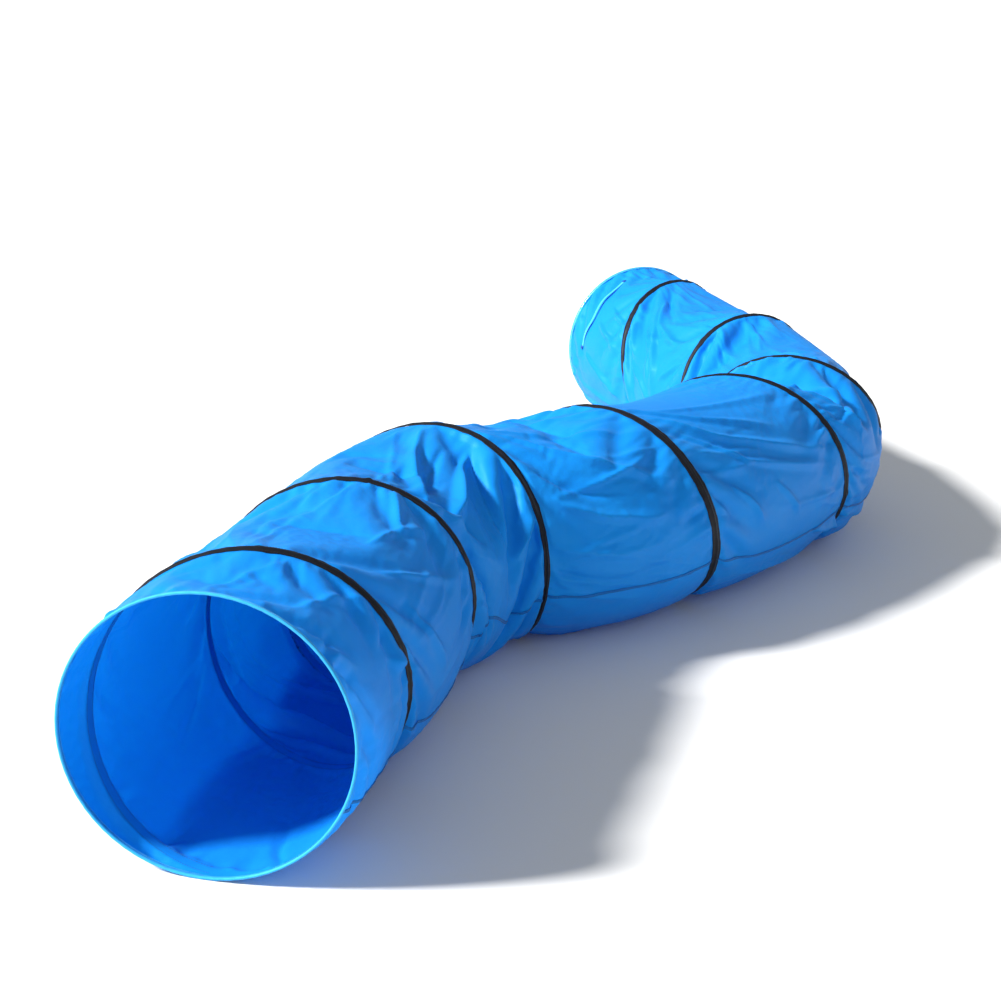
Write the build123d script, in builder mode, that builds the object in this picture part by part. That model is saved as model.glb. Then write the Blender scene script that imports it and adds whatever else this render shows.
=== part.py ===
from build123d import *
import math
import os

# Agility tunnel for dogs: a cloth tube held open by one spring-steel coil, with a ring at each end.
# It stands on the ground in the curve it was laid out in. Row frame: +X runs from the near mouth
# towards the far mouth, +Z is up, z = 0 is the ground, and the origin is under the middle of the
# whole tunnel's box. All lengths are in millimetres.

# --- driving dimensions -------------------------------------------------------------------------
COIL_RADIUS = 300.0        # centre line of the spring wire, from the tunnel's axis
WIRE_D = 2.8               # spring-steel wire
CLOTH_INNER_R = 296.2      # inside of the cloth wall
CLOTH_OUTER_R = 297.2      # outside of the cloth wall
CASING_W = 30.0            # width of the tape that cases the coil, measured along the axis
CASING_INNER_R = 298.1     # under side of the tape's sewn edges
CASING_EDGE_R = 299.1      # top of the tape's sewn edges
CASING_OUTER_R = 302.7     # top of the tape where it goes over the wire
CASING_CROWN = 4.4         # width of the part that goes over the wire
CASING_SLOT_W = 3.8        # room for the wire under the tape
CASING_SLOT_R = 301.9
HEM_W = 14.0               # rolled hem at each mouth, along the axis
HEM_INNER_R = 296.5
HEM_OUTER_R = 303.0
HEM_FILLET = 2.6
HEM_CHANNEL_R = 2.5        # sleeve inside the hem, for the end ring and its crimp
CRIMP_OUTER_R = 2.4        # crimp sleeve that closes the end ring
CRIMP_INNER_R = 1.55
CRIMP_LENGTH = 30.0
GAP = 0.15                 # clearance left each side of the plane between two turns
STRAP_W = 10.0             # carry strap sewn beside the far mouth
STRAP_T = 1.0
STRAP_R = 303.4            # inner face of the strap
TACK_L = 14.0              # stitched tack at each end of the strap, along the strap
TACK_W = 12.0
TACK_OUTER_R = 306.2

# the laid-out curve: one length and one bend to the left (degrees) for each turn of the coil
TURN_LENGTH = (539.0, 440.0, 691.0, 571.0, 729.0, 386.0, 506.0, 763.0)
TURN_BEND = (-10.3, 12.2, -54.4, 22.6, 4.5, 40.9, 15.4, 0.0)
TURN_HALF = (0.469, 0.644, 0.603, 0.469, 0.521, 0.214, 0.738, 0.581)  # where each half turn falls
START_X, START_Y = -2162.44, 356.70   # centre of the near mouth
START_HEADING = 7.18       # degrees from +X
COIL_PHASE = -26.3         # the coil starts this far round from the bottom; it climbs on the left
SECTIONS_PER_TURN = 60     # sections that the wire and its casing are drawn through in one turn
EXTRA_SECTIONS = 4         # sections past each end of a turn, before its ends are trimmed

TURNS = len(TURN_LENGTH)
AXIS_Z = HEM_OUTER_R       # the hems rest on the ground
TOTAL = sum(TURN_LENGTH)

os.makedirs("parts", exist_ok=True)


# --- the laid-out centre line -------------------------------------------------------------------
def advance(x, y, heading, bend, length, run):
    """The centre line is one tangent arc for each turn; run is how far along that arc."""
    if abs(bend) < 1e-9:
        a = math.radians(heading)
        return x + run * math.cos(a), y + run * math.sin(a), heading
    curve = math.radians(bend) / length
    a, b = math.radians(heading), math.radians(heading) + curve * run
    return (
        x + (math.sin(b) - math.sin(a)) / curve,
        y - (math.cos(b) - math.cos(a)) / curve,
        heading + math.degrees(curve * run),
    )


STATIONS = [(START_X, START_Y, START_HEADING)]
for _length, _bend in zip(TURN_LENGTH, TURN_BEND):
    STATIONS.append(advance(*STATIONS[-1], _bend, _length, _length))
ALONG = [sum(TURN_LENGTH[:k]) for k in range(TURNS + 1)]


def centre(s):
    """Plan position and heading at s along the centre line; straight on beyond both ends."""
    if s <= 0:
        return advance(*STATIONS[0], 0.0, 1.0, s)
    if s >= TOTAL:
        return advance(*STATIONS[-1], 0.0, 1.0, s - TOTAL)
    k = max(i for i in range(TURNS) if ALONG[i] <= s)
    return advance(*STATIONS[k], TURN_BEND[k], TURN_LENGTH[k], s - ALONG[k])


# --- how the coil's turns are spaced along it ---------------------------------------------------
KNOT = [0.0]
for _k in range(TURNS):
    KNOT += [ALONG[_k] + TURN_HALF[_k] * TURN_LENGTH[_k], ALONG[_k + 1]]
STEP = [b - a for a, b in zip(KNOT, KNOT[1:])]
SLOPE = [1.5 * STEP[0] - 0.5 * STEP[1]]
SLOPE += [2 * a * b / (a + b) for a, b in zip(STEP, STEP[1:])]
SLOPE += [1.5 * STEP[-1] - 0.5 * STEP[-2]]


def coil_along(turn):
    """Distance along the centre line of the coil's wire after so many turns."""
    u = 2 * turn
    if u <= 0:
        return KNOT[0] + SLOPE[0] * u
    if u >= len(STEP):
        return KNOT[-1] + SLOPE[-1] * (u - len(STEP))
    i = min(int(u), len(STEP) - 1)
    t = u - i
    return (
        KNOT[i] * (1 + 2 * t) * (1 - t) ** 2
        + SLOPE[i] * t * (1 - t) ** 2
        + KNOT[i + 1] * t * t * (3 - 2 * t)
        - SLOPE[i + 1] * t * t * (1 - t)
    )


def on_tube(s, angle, radius):
    """A point at s along, at an angle round from the bottom (90 is the left side), off the axis."""
    x, y, heading = centre(s)
    a, h = math.radians(angle), math.radians(heading)
    across = radius * math.sin(a)
    return Vector(x - across * math.sin(h), y + across * math.cos(h), AXIS_Z - radius * math.cos(a))


# --- planes across the tunnel -------------------------------------------------------------------
def across_plane(s):
    """The plane across the tunnel at s, facing along it."""
    x, y, heading = centre(s)
    h = math.radians(heading)
    return Plane(
        origin=(x, y, AXIS_Z),
        x_dir=(-math.sin(h), math.cos(h), 0),
        z_dir=(math.cos(h), math.sin(h), 0),
    )


def radial_plane(s, angle):
    """A plane that holds the tunnel's axis at s: x runs along it, y outwards at an angle round
    from the bottom (90 is the left side)."""
    x, y, heading = centre(s)
    h, a = math.radians(heading), math.radians(angle)
    along = Vector(math.cos(h), math.sin(h), 0)
    out = Vector(-math.sin(h) * math.sin(a), math.cos(h) * math.sin(a), -math.cos(a))
    return Plane(origin=(x, y, AXIS_Z), x_dir=along, z_dir=along.cross(out))


def tunnel_axis(s):
    """The tunnel's own axis at s."""
    x, y, heading = centre(s)
    h = math.radians(heading)
    return Axis((x, y, AXIS_Z), (math.cos(h), math.sin(h), 0))


def bend_centre(turn):
    """The upright axis that this turn's centre line is an arc about."""
    x, y, heading = STATIONS[turn - 1]
    h, r = math.radians(heading), TURN_LENGTH[turn - 1] / math.radians(TURN_BEND[turn - 1])
    return Axis((x - r * math.sin(h), y + r * math.cos(h), 0), (0, 0, 1 if r > 0 else -1))


def turn_span(turn):
    """Where this turn's cloth starts and how long it is, clear of its neighbours and the hems."""
    first = ALONG[turn - 1] + (HEM_W if turn == 1 else 0) + GAP
    last = ALONG[turn] - (HEM_W if turn == TURNS else 0) - GAP
    return first, last - first


def carry_round(turn, run):
    """Carries the sketch in hand along this turn's centre line: round its arc, or straight."""
    if abs(TURN_BEND[turn - 1]) < 1e-9:
        extrude(amount=run)
    else:
        angle = abs(TURN_BEND[turn - 1]) * run / TURN_LENGTH[turn - 1]
        revolve(axis=bend_centre(turn), revolution_arc=angle)


def finish(builder, label):
    builder.part.label = label
    solids = builder.part.solids()
    print(f"{label}: {len(solids)} solid, {builder.part.volume / 1000:.2f} cm3")
    export_step(builder.part, f"parts/{label}.step")


# --- the two mouths -----------------------------------------------------------------------------
def hem(label, s, middle):
    """Rolled cloth hem, with the sleeve inside it that holds the end ring. It is turned about the
    tunnel's axis at s, where the hem meets the cloth; middle is how far along that axis it sits."""
    with BuildPart() as piece:
        with BuildSketch(radial_plane(s, 180)):
            with Locations((middle, (HEM_INNER_R + HEM_OUTER_R) / 2)):
                RectangleRounded(HEM_W, HEM_OUTER_R - HEM_INNER_R, HEM_FILLET)
            with Locations((middle, COIL_RADIUS)):
                Circle(HEM_CHANNEL_R, mode=Mode.SUBTRACT)
        revolve(axis=tunnel_axis(s), revolution_arc=360)
    finish(piece, label)


def end_ring(label, s, middle):
    """Closed hoop of spring wire inside the hem."""
    with BuildPart() as piece:
        with BuildSketch(radial_plane(s, 180)):
            with Locations((middle, COIL_RADIUS)):
                Circle(WIRE_D / 2)
        revolve(axis=tunnel_axis(s), revolution_arc=360)
    finish(piece, label)


def crimp_sleeve(label, s, middle):
    """Pressed sleeve where the hoop's two ends meet, at the bottom of the ring."""
    arc = math.degrees(CRIMP_LENGTH / COIL_RADIUS)
    with BuildPart() as piece:
        with BuildSketch(radial_plane(s, -arc / 2)):
            with Locations((middle, COIL_RADIUS)):
                Circle(CRIMP_OUTER_R)
                Circle(CRIMP_INNER_R, mode=Mode.SUBTRACT)
        revolve(axis=tunnel_axis(s), revolution_arc=arc)
    finish(piece, label)


hem("near_hem", HEM_W, -HEM_W / 2)
end_ring("near_end_ring", HEM_W, -HEM_W / 2)
crimp_sleeve("near_crimp_sleeve", HEM_W, -HEM_W / 2)
hem("far_hem", TOTAL - HEM_W, HEM_W / 2)
end_ring("far_end_ring", TOTAL - HEM_W, HEM_W / 2)
crimp_sleeve("far_crimp_sleeve", TOTAL - HEM_W, HEM_W / 2)


# --- one turn of the tunnel: cloth, wire casing and wire ----------------------------------------
def cloth_turn(label, turn):
    """The cloth wall over one turn, a thin tube open at both ends."""
    first, run = turn_span(turn)
    with BuildPart() as piece:
        with BuildSketch(across_plane(first)):
            Circle(CLOTH_OUTER_R)
            Circle(CLOTH_INNER_R, mode=Mode.SUBTRACT)
        carry_round(turn, run)
    finish(piece, label)


def coil_sections(turn):
    """Planes through the tunnel's axis that cut one turn of the coil, and how steep it is there."""
    found = []
    for i in range(-EXTRA_SECTIONS, SECTIONS_PER_TURN + EXTRA_SECTIONS + 1):
        coil = turn - 1 + i / SECTIONS_PER_TURN
        rise = (coil_along(coil + 0.005) - coil_along(coil - 0.005)) / 0.01
        steep = math.atan2(rise, 2 * math.pi * COIL_RADIUS)
        found.append((radial_plane(coil_along(coil), 360 * coil + COIL_PHASE), steep))
    return found


def casing_turn(label, turn):
    """The black tape over one turn of the coil: sewn down along both edges, arched over the wire."""
    first, run = turn_span(turn)
    half = [
        (CASING_SLOT_W / 2, CASING_SLOT_R),
        (CASING_SLOT_W / 2, CASING_INNER_R),
        (CASING_W / 2, CASING_INNER_R),
        (CASING_W / 2, CASING_EDGE_R),
        (CASING_CROWN / 2, CASING_OUTER_R),
    ]
    outline = half + [(-x, r) for x, r in reversed(half)]
    with BuildPart() as piece:
        for plane, _ in coil_sections(turn):
            with BuildSketch(plane):
                with BuildLine():
                    Polyline(*outline, close=True)
                make_face()
        loft(ruled=True)
        split(bisect_by=across_plane(first), keep=Keep.TOP)
        split(bisect_by=across_plane(first + run), keep=Keep.BOTTOM)
    finish(piece, label)


def wire_turn(label, turn):
    """One turn of the spring-steel coil, under its casing tape."""
    first, run = turn_span(turn)
    with BuildPart() as piece:
        for plane, steep in coil_sections(turn):
            round_points = [
                (
                    WIRE_D / 2 / math.cos(steep) * math.cos(math.radians(30 * i)),
                    COIL_RADIUS + WIRE_D / 2 * math.sin(math.radians(30 * i)),
                )
                for i in range(12)
            ]
            with BuildSketch(plane):
                with BuildLine():
                    Polyline(*round_points, close=True)
                make_face()
        loft(ruled=True)
        split(bisect_by=across_plane(first), keep=Keep.TOP)
        split(bisect_by=across_plane(first + run), keep=Keep.BOTTOM)
    finish(piece, label)


for turn in range(1, TURNS + 1):
    cloth_turn(f"cloth_turn_{turn}", turn)
    casing_turn(f"wire_casing_{turn}", turn)
    wire_turn(f"coil_wire_{turn}", turn)


# --- carry strap beside the far mouth -----------------------------------------------------------
# A narrow strap lies round the outside of the cloth on the left, tacked down at both of its ends.
STRAP_S = TOTAL - 118.0
STRAP_LOW, STRAP_HIGH = 96.0, 152.0   # degrees round from the bottom, between the tacks
TACK_ARC = math.degrees(TACK_L / STRAP_R)


def band(label, low, high, inner, outer, width):
    """A short band round the outside of the tunnel between two angles from the bottom."""
    with BuildPart() as piece:
        with BuildSketch(radial_plane(STRAP_S, low)):
            with Locations((0, (inner + outer) / 2)):
                Rectangle(width, outer - inner)
        revolve(axis=tunnel_axis(STRAP_S), revolution_arc=high - low)
    finish(piece, label)


band("carry_strap", STRAP_LOW, STRAP_HIGH, STRAP_R, STRAP_R + STRAP_T, STRAP_W)
band("strap_tack_lower", STRAP_LOW - TACK_ARC - 0.05, STRAP_LOW - 0.05, 302.8, TACK_OUTER_R, TACK_W)
band("strap_tack_upper", STRAP_HIGH + 0.05, STRAP_HIGH + TACK_ARC + 0.05, 302.8, TACK_OUTER_R, TACK_W)
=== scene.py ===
import bpy
import bmesh
import math
import numpy as np
from mathutils import Matrix, Vector


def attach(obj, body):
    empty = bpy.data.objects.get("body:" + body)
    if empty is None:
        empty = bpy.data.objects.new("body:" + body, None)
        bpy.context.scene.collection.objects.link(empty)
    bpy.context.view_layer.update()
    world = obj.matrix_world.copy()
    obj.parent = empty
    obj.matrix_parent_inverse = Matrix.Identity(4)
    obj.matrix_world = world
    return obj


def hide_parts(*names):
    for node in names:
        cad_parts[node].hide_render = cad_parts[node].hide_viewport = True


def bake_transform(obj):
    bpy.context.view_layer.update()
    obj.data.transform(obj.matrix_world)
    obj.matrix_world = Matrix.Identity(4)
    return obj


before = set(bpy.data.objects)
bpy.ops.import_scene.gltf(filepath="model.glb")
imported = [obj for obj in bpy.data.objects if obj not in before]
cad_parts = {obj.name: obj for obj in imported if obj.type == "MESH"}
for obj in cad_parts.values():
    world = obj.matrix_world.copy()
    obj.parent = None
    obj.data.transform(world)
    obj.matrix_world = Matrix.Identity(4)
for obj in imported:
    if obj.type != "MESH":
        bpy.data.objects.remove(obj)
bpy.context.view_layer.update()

# ------------------------------------------------------------------------------------------------
# The laid-out curve, the same numbers as the CAD model's, in metres
# ------------------------------------------------------------------------------------------------
TURN_LENGTH = np.array((539.0, 440.0, 691.0, 571.0, 729.0, 386.0, 506.0, 763.0)) / 1000
TURN_BEND = np.radians((-10.3, 12.2, -54.4, 22.6, 4.5, 40.9, 15.4, 0.0))
TURN_HALF = np.array((0.469, 0.644, 0.603, 0.469, 0.521, 0.214, 0.738, 0.581))
START = (-2.16244, 0.35670, math.radians(7.18))
PHASE = -26.3 / 360
AXIS_Z = 0.303
COIL_R = 0.300
CLOTH_R = 0.2975
HEM_W = 0.014
TURNS = 8


def advance(x, y, h, bend, length, run):
    if abs(bend) < 1e-9:
        return x + run * math.cos(h), y + run * math.sin(h), h
    c = bend / length
    b = h + c * run
    return x + (math.sin(b) - math.sin(h)) / c, y - (math.cos(b) - math.cos(h)) / c, b


STATIONS = [START]
for _l, _b in zip(TURN_LENGTH, TURN_BEND):
    STATIONS.append(advance(*STATIONS[-1], _b, _l, _l))
ALONG = np.concatenate([[0], np.cumsum(TURN_LENGTH)])
TOTAL = float(ALONG[-1])
ST = np.array(STATIONS)


def centre(s):
    """Plan position and heading along the centre line, for an array of distances."""
    s = np.asarray(s, float)
    k = np.clip(np.searchsorted(ALONG, s, side="right") - 1, 0, TURNS - 1)
    run = s - ALONG[k]
    bend = np.where(np.abs(TURN_BEND[k]) < 1e-9, 1e-9, TURN_BEND[k])
    c = bend / TURN_LENGTH[k]
    h = ST[k, 2]
    b = h + c * run
    x = ST[k, 0] + (np.sin(b) - np.sin(h)) / c
    y = ST[k, 1] - (np.cos(b) - np.cos(h)) / c
    for off, i in ((s < 0, 0), (s > TOTAL, TURNS)):
        d = s - (0 if i == 0 else TOTAL)
        x = np.where(off, ST[i, 0] + d * math.cos(ST[i, 2]), x)
        y = np.where(off, ST[i, 1] + d * math.sin(ST[i, 2]), y)
        b = np.where(off, ST[i, 2], b)
    return x, y, b


KNOT = [0.0]
for _k in range(TURNS):
    KNOT += [ALONG[_k] + TURN_HALF[_k] * TURN_LENGTH[_k], ALONG[_k + 1]]
KNOT = np.array(KNOT)
STEP = np.diff(KNOT)
SLOPE = np.concatenate([
    [1.5 * STEP[0] - 0.5 * STEP[1]],
    2 * STEP[:-1] * STEP[1:] / (STEP[:-1] + STEP[1:]),
    [1.5 * STEP[-1] - 0.5 * STEP[-2]],
])


def coil_along(turn):
    """Distance along the centre line of the coil after so many turns, for an array."""
    u = 2 * np.asarray(turn, float)
    i = np.clip(u.astype(int), 0, len(STEP) - 1)
    t = np.clip(u - i, 0, 1)
    s = (
        KNOT[i] * (1 + 2 * t) * (1 - t) ** 2
        + SLOPE[i] * t * (1 - t) ** 2
        + KNOT[i + 1] * t * t * (3 - 2 * t)
        - SLOPE[i + 1] * t * t * (1 - t)
    )
    s = np.where(u < 0, KNOT[0] + SLOPE[0] * u, s)
    return np.where(u > len(STEP), KNOT[-1] + SLOPE[-1] * (u - len(STEP)), s)


def on_tube(s, angle, radius):
    """Points at s along, at an angle in radians round from the bottom (a quarter turn is left)."""
    x, y, h = centre(s)
    a = np.asarray(angle, float)
    r = np.asarray(radius, float)
    return np.stack([
        x - r * np.sin(a) * np.sin(h),
        y + r * np.sin(a) * np.cos(h),
        AXIS_Z - r * np.cos(a) + 0 * x,
    ], -1)


def out_dir(s, angle):
    _, _, h = centre(s)
    a = np.asarray(angle, float)
    return np.stack([-np.sin(a) * np.sin(h), np.sin(a) * np.cos(h), -np.cos(a) + 0 * h], -1)


def along_dir(s):
    _, _, h = centre(s)
    return np.stack([np.cos(h), np.sin(h), 0 * h], -1)


def where_along(points, turn):
    """How far through a turn each point is, 0 at its near plane and 1 at its far one. The hems
    don't fold, so the first turn is counted from its hem's edge and the last up to its hem's."""
    p = np.asarray(points, float)
    x, y, h = STATIONS[turn - 1]
    bend, length = TURN_BEND[turn - 1], TURN_LENGTH[turn - 1]
    if abs(bend) < 1e-9:
        w = ((p[:, 0] - x) * math.cos(h) + (p[:, 1] - y) * math.sin(h)) / length
    else:
        r = length / bend
        cx, cy = x - r * math.sin(h), y + r * math.cos(h)
        ang = np.arctan2(p[:, 1] - cy, p[:, 0] - cx)
        start = math.atan2(y - cy, x - cx)
        w = ((ang - start + math.pi) % (2 * math.pi) - math.pi) / bend
    if turn == 1:
        return (w * length - HEM_W) / (length - HEM_W)
    if turn == TURNS:
        return w * length / (length - HEM_W)
    return w


# ------------------------------------------------------------------------------------------------
# Camera, light and floor
# ------------------------------------------------------------------------------------------------
def make_camera():
    # the view is worked out in a frame of its own, with the eye over its origin, and turned here
    turn_by = -math.radians(76.61528)
    a0 = (ORIGIN_X, ORIGIN_Y)
    c, s = math.cos(turn_by), math.sin(turn_by)

    def place(x, y, z):
        dx, dy = x - a0[0], y - a0[1]
        return Vector((START[0] + c * dx - s * dy, START[1] + s * dx + c * dy, z))

    eye = place(0, 0, EYE_H + 0.003)
    forward = place(0, 1, EYE_H + 0.003) - eye
    right = place(1, 0, EYE_H + 0.003) - eye
    up = Vector((0, 0, 1))
    ahead = forward * math.cos(PITCH) - up * math.sin(PITCH)
    above = forward * math.sin(PITCH) + up * math.cos(PITCH)
    x_axis = right * math.cos(ROLL) - above * math.sin(ROLL)
    y_axis = right * math.sin(ROLL) + above * math.cos(ROLL)
    m = Matrix((
        (x_axis.x, y_axis.x, -ahead.x, eye.x),
        (x_axis.y, y_axis.y, -ahead.y, eye.y),
        (x_axis.z, y_axis.z, -ahead.z, eye.z),
        (0, 0, 0, 1),
    ))
    data = bpy.data.cameras.new("camera")
    data.sensor_width = 36
    data.lens = FOCAL_PX / 1001 * 36
    data.shift_x = -(CENTRE_PX[0] - 500.5) / 1001
    data.shift_y = (CENTRE_PX[1] - 500.5) / 1001
    data.clip_end = 3000
    cam = bpy.data.objects.new("camera", data)
    bpy.context.scene.collection.objects.link(cam)
    cam.matrix_world = m
    bpy.context.scene.camera = cam
    return cam


ORIGIN_X, ORIGIN_Y = -0.58243, 3.23289
FOCAL_PX, CENTRE_PX = 1839.1, (525.29, 535.14)
PITCH, ROLL, EYE_H = math.radians(18.1574), math.radians(-4.9999), 1.83176

make_camera()

# ------------------------------------------------------------------------------------------------
# Small mesh tools
# ------------------------------------------------------------------------------------------------
def smooth_noise(rng, u, v, waves, shortest, longest):
    """A smooth random field over two lengths, from seeded waves; about -1 to 1."""
    out = np.zeros(np.broadcast(u, v).shape)
    for _ in range(waves):
        size = math.exp(rng.uniform(math.log(shortest), math.log(longest)))
        a = rng.uniform(0, math.pi)
        out += math.sqrt(size) * np.sin(
            2 * math.pi * (u * math.cos(a) + v * math.sin(a)) / size + rng.uniform(0, 6.283)
        )
    return out / (np.abs(out).std() * 3 + 1e-9)


def grid_normals(verts, faces):
    """Area-weighted normal of each vertex."""
    a, b, c, d = (verts[faces[:, i]] for i in range(4))
    n = np.cross(c - a, d - b)
    out = np.zeros_like(verts)
    for i in range(4):
        for j in range(3):
            out[:, j] += np.bincount(faces[:, i], n[:, j], len(verts))
    return out / (np.linalg.norm(out, axis=1, keepdims=True) + 1e-12)


def new_mesh(name, verts, faces, uv=None, normals=None, material=None, attrs=None):
    mesh = bpy.data.meshes.new(name)
    faces = np.asarray(faces, np.int32)
    nf, k = faces.shape
    mesh.vertices.add(len(verts))
    mesh.vertices.foreach_set("co", np.asarray(verts, np.float32).ravel())
    mesh.loops.add(nf * k)
    mesh.loops.foreach_set("vertex_index", faces.ravel())
    mesh.polygons.add(nf)
    mesh.polygons.foreach_set("loop_start", np.arange(nf, dtype=np.int32) * k)
    mesh.polygons.foreach_set("use_smooth", np.ones(nf, bool))
    if uv is not None:
        layer = mesh.uv_layers.new(name="ClothUV")
        layer.data.foreach_set("uv", np.asarray(uv, np.float32)[faces.ravel()].ravel())
    for key, values in (attrs or {}).items():
        at = mesh.attributes.new(key, "FLOAT", "POINT")
        at.data.foreach_set("value", np.asarray(values, np.float32))
    mesh.update(calc_edges=True)
    mesh.validate()
    if normals is not None and len(mesh.vertices) == len(normals):
        mesh.normals_split_custom_set_from_vertices([tuple(n) for n in normals])
    obj = bpy.data.objects.new(name, mesh)
    bpy.context.scene.collection.objects.link(obj)
    if material is not None:
        mesh.materials.append(material)
    return obj


def blend_share(obj, share):
    """Works out each point's eased share of the turn's motion; nothing keeps it, and the mesh keeps its own shape."""
    mesh = obj.data
    n = len(mesh.vertices)
    co = np.empty(n * 3, np.float32)
    mesh.vertices.foreach_get("co", co)
    w = np.clip(share, 0, 1)
    t = 0.5 - np.sin(np.arcsin(np.clip(1 - 2 * w, -1, 1)) / 3)   # smoothstep(t) is w
    flat = np.zeros((n, 3), np.float32)
    flat[:, 0] = t
    mesh.vertices.foreach_set("co", flat.ravel())
    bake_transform(obj)
    mesh.vertices.foreach_set("co", co)
    mesh.update()
    return obj


def blend_turn(obj, turn):
    """Works out the share of the turn's motion for each point of the piece: how far through the turn it is,
    measured round the turn's own arc."""
    co = np.empty(len(obj.data.vertices) * 3)
    obj.data.vertices.foreach_get("co", co)
    return blend_share(obj, where_along(co.reshape(-1, 3), turn))


def split_by_turn(name, verts, faces, along, uv, material, thick, attrs=None, nodes=None):
    """Cuts one long mesh into a closed piece for each turn, thick inwards from its surface. Neighbours share
    their cut's points."""
    normals = grid_normals(verts, faces)
    mid = along[faces].mean(1)
    turn_of = np.clip(np.searchsorted(ALONG, mid, side="right"), 1, TURNS)
    lowest = np.full(len(verts), 99)
    highest = np.zeros(len(verts), int)
    for i in range(4):
        np.minimum.at(lowest, faces[:, i], turn_of)
        np.maximum.at(highest, faces[:, i], turn_of)
    made = []
    for k in range(1, TURNS + 1):
        own = faces[turn_of == k]
        if not len(own):
            continue
        used, local = np.unique(own, return_inverse=True)
        local = local.reshape(own.shape)
        v, n = verts[used], normals[used]
        share = np.clip(where_along(v, k), 0, 1)
        share = np.where(highest[used] > k, 1.0, share)
        share = np.where(lowest[used] < k, 0.0, share)
        m = len(used)
        # the rim: edges that only one face has
        e = np.concatenate([local[:, [0, 1]], local[:, [1, 2]], local[:, [2, 3]], local[:, [3, 0]]])
        key = np.sort(e, 1)
        key = key[:, 0].astype(np.int64) * m + key[:, 1]
        _, first, count = np.unique(key, return_index=True, return_counts=True)
        rim = e[first[count == 1]]
        rim = rim[rim[:, 0] != rim[:, 1]]
        inner = local[:, ::-1] + m
        wall = np.stack([rim[:, 1], rim[:, 0], rim[:, 0] + m, rim[:, 1] + m], 1)
        all_v = np.concatenate([v, v - n * thick])
        all_f = np.concatenate([local, inner, wall])
        extra = {a: np.concatenate([x[used], x[used]]) for a, x in (attrs or {}).items()}
        extra["inside"] = np.concatenate([np.zeros(m), np.ones(m)])
        obj = new_mesh(f"{name}_{k}", all_v, all_f, np.concatenate([uv[used], uv[used]]),
                       np.concatenate([n, -n]), material, extra)
        blend_share(obj, np.concatenate([share, share]))
        if nodes:
            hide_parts(f"{nodes}_{k}")
        made.append(obj)
    return made


# ------------------------------------------------------------------------------------------------
# The cloth: one strip wound round the tunnel between one pass of the wire and the next
# ------------------------------------------------------------------------------------------------
COLS, ROWS = 128, 46
NEAR_S, FAR_S = 0.0095, TOTAL - 0.0095
TAPE_HALF = 0.015
# how much more cloth there is than the way it has to go, by turns round the strip
SLACK_AT = (0.0, 0.7, 1.5, 2.4, 3.0, 3.6, 4.5, 5.4, 6.2, 7.0, 7.8, 9.0)
SLACK = (1.000, 1.000, 1.002, 1.012, 0.998, 0.992, 0.992, 1.004, 1.012, 1.000, 0.997, 1.000)
IN_BENDS = (0.03, 0.04, 0.06, 0.30, 0.08, 0.00, 0.00, 0.16, 0.24, 0.06, 0.02, 0.03)
RNG = np.random.RandomState(11)


def strip_rest():
    q = np.arange((TURNS + 1) * COLS + 1) / COLS
    angle = 2 * math.pi * (q + PHASE)
    low = np.where(q - 1 < 0, NEAR_S, np.maximum(coil_along(np.maximum(q - 1, 0)), NEAR_S))
    high = np.where(q > TURNS, FAR_S, np.minimum(coil_along(np.minimum(q, TURNS)), FAR_S))
    width = np.maximum(high - low, 1e-6)
    edge = np.minimum(TAPE_HALF / width, 1.0 / ROWS)
    f = np.zeros((ROWS + 1, len(q)))
    for m in range(1, ROWS):
        f[m] = edge + (1 - 2 * edge) * (m - 1) / (ROWS - 2)
    f[ROWS] = 1
    along = low + f * width
    return q, angle, low, high, f, along


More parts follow.
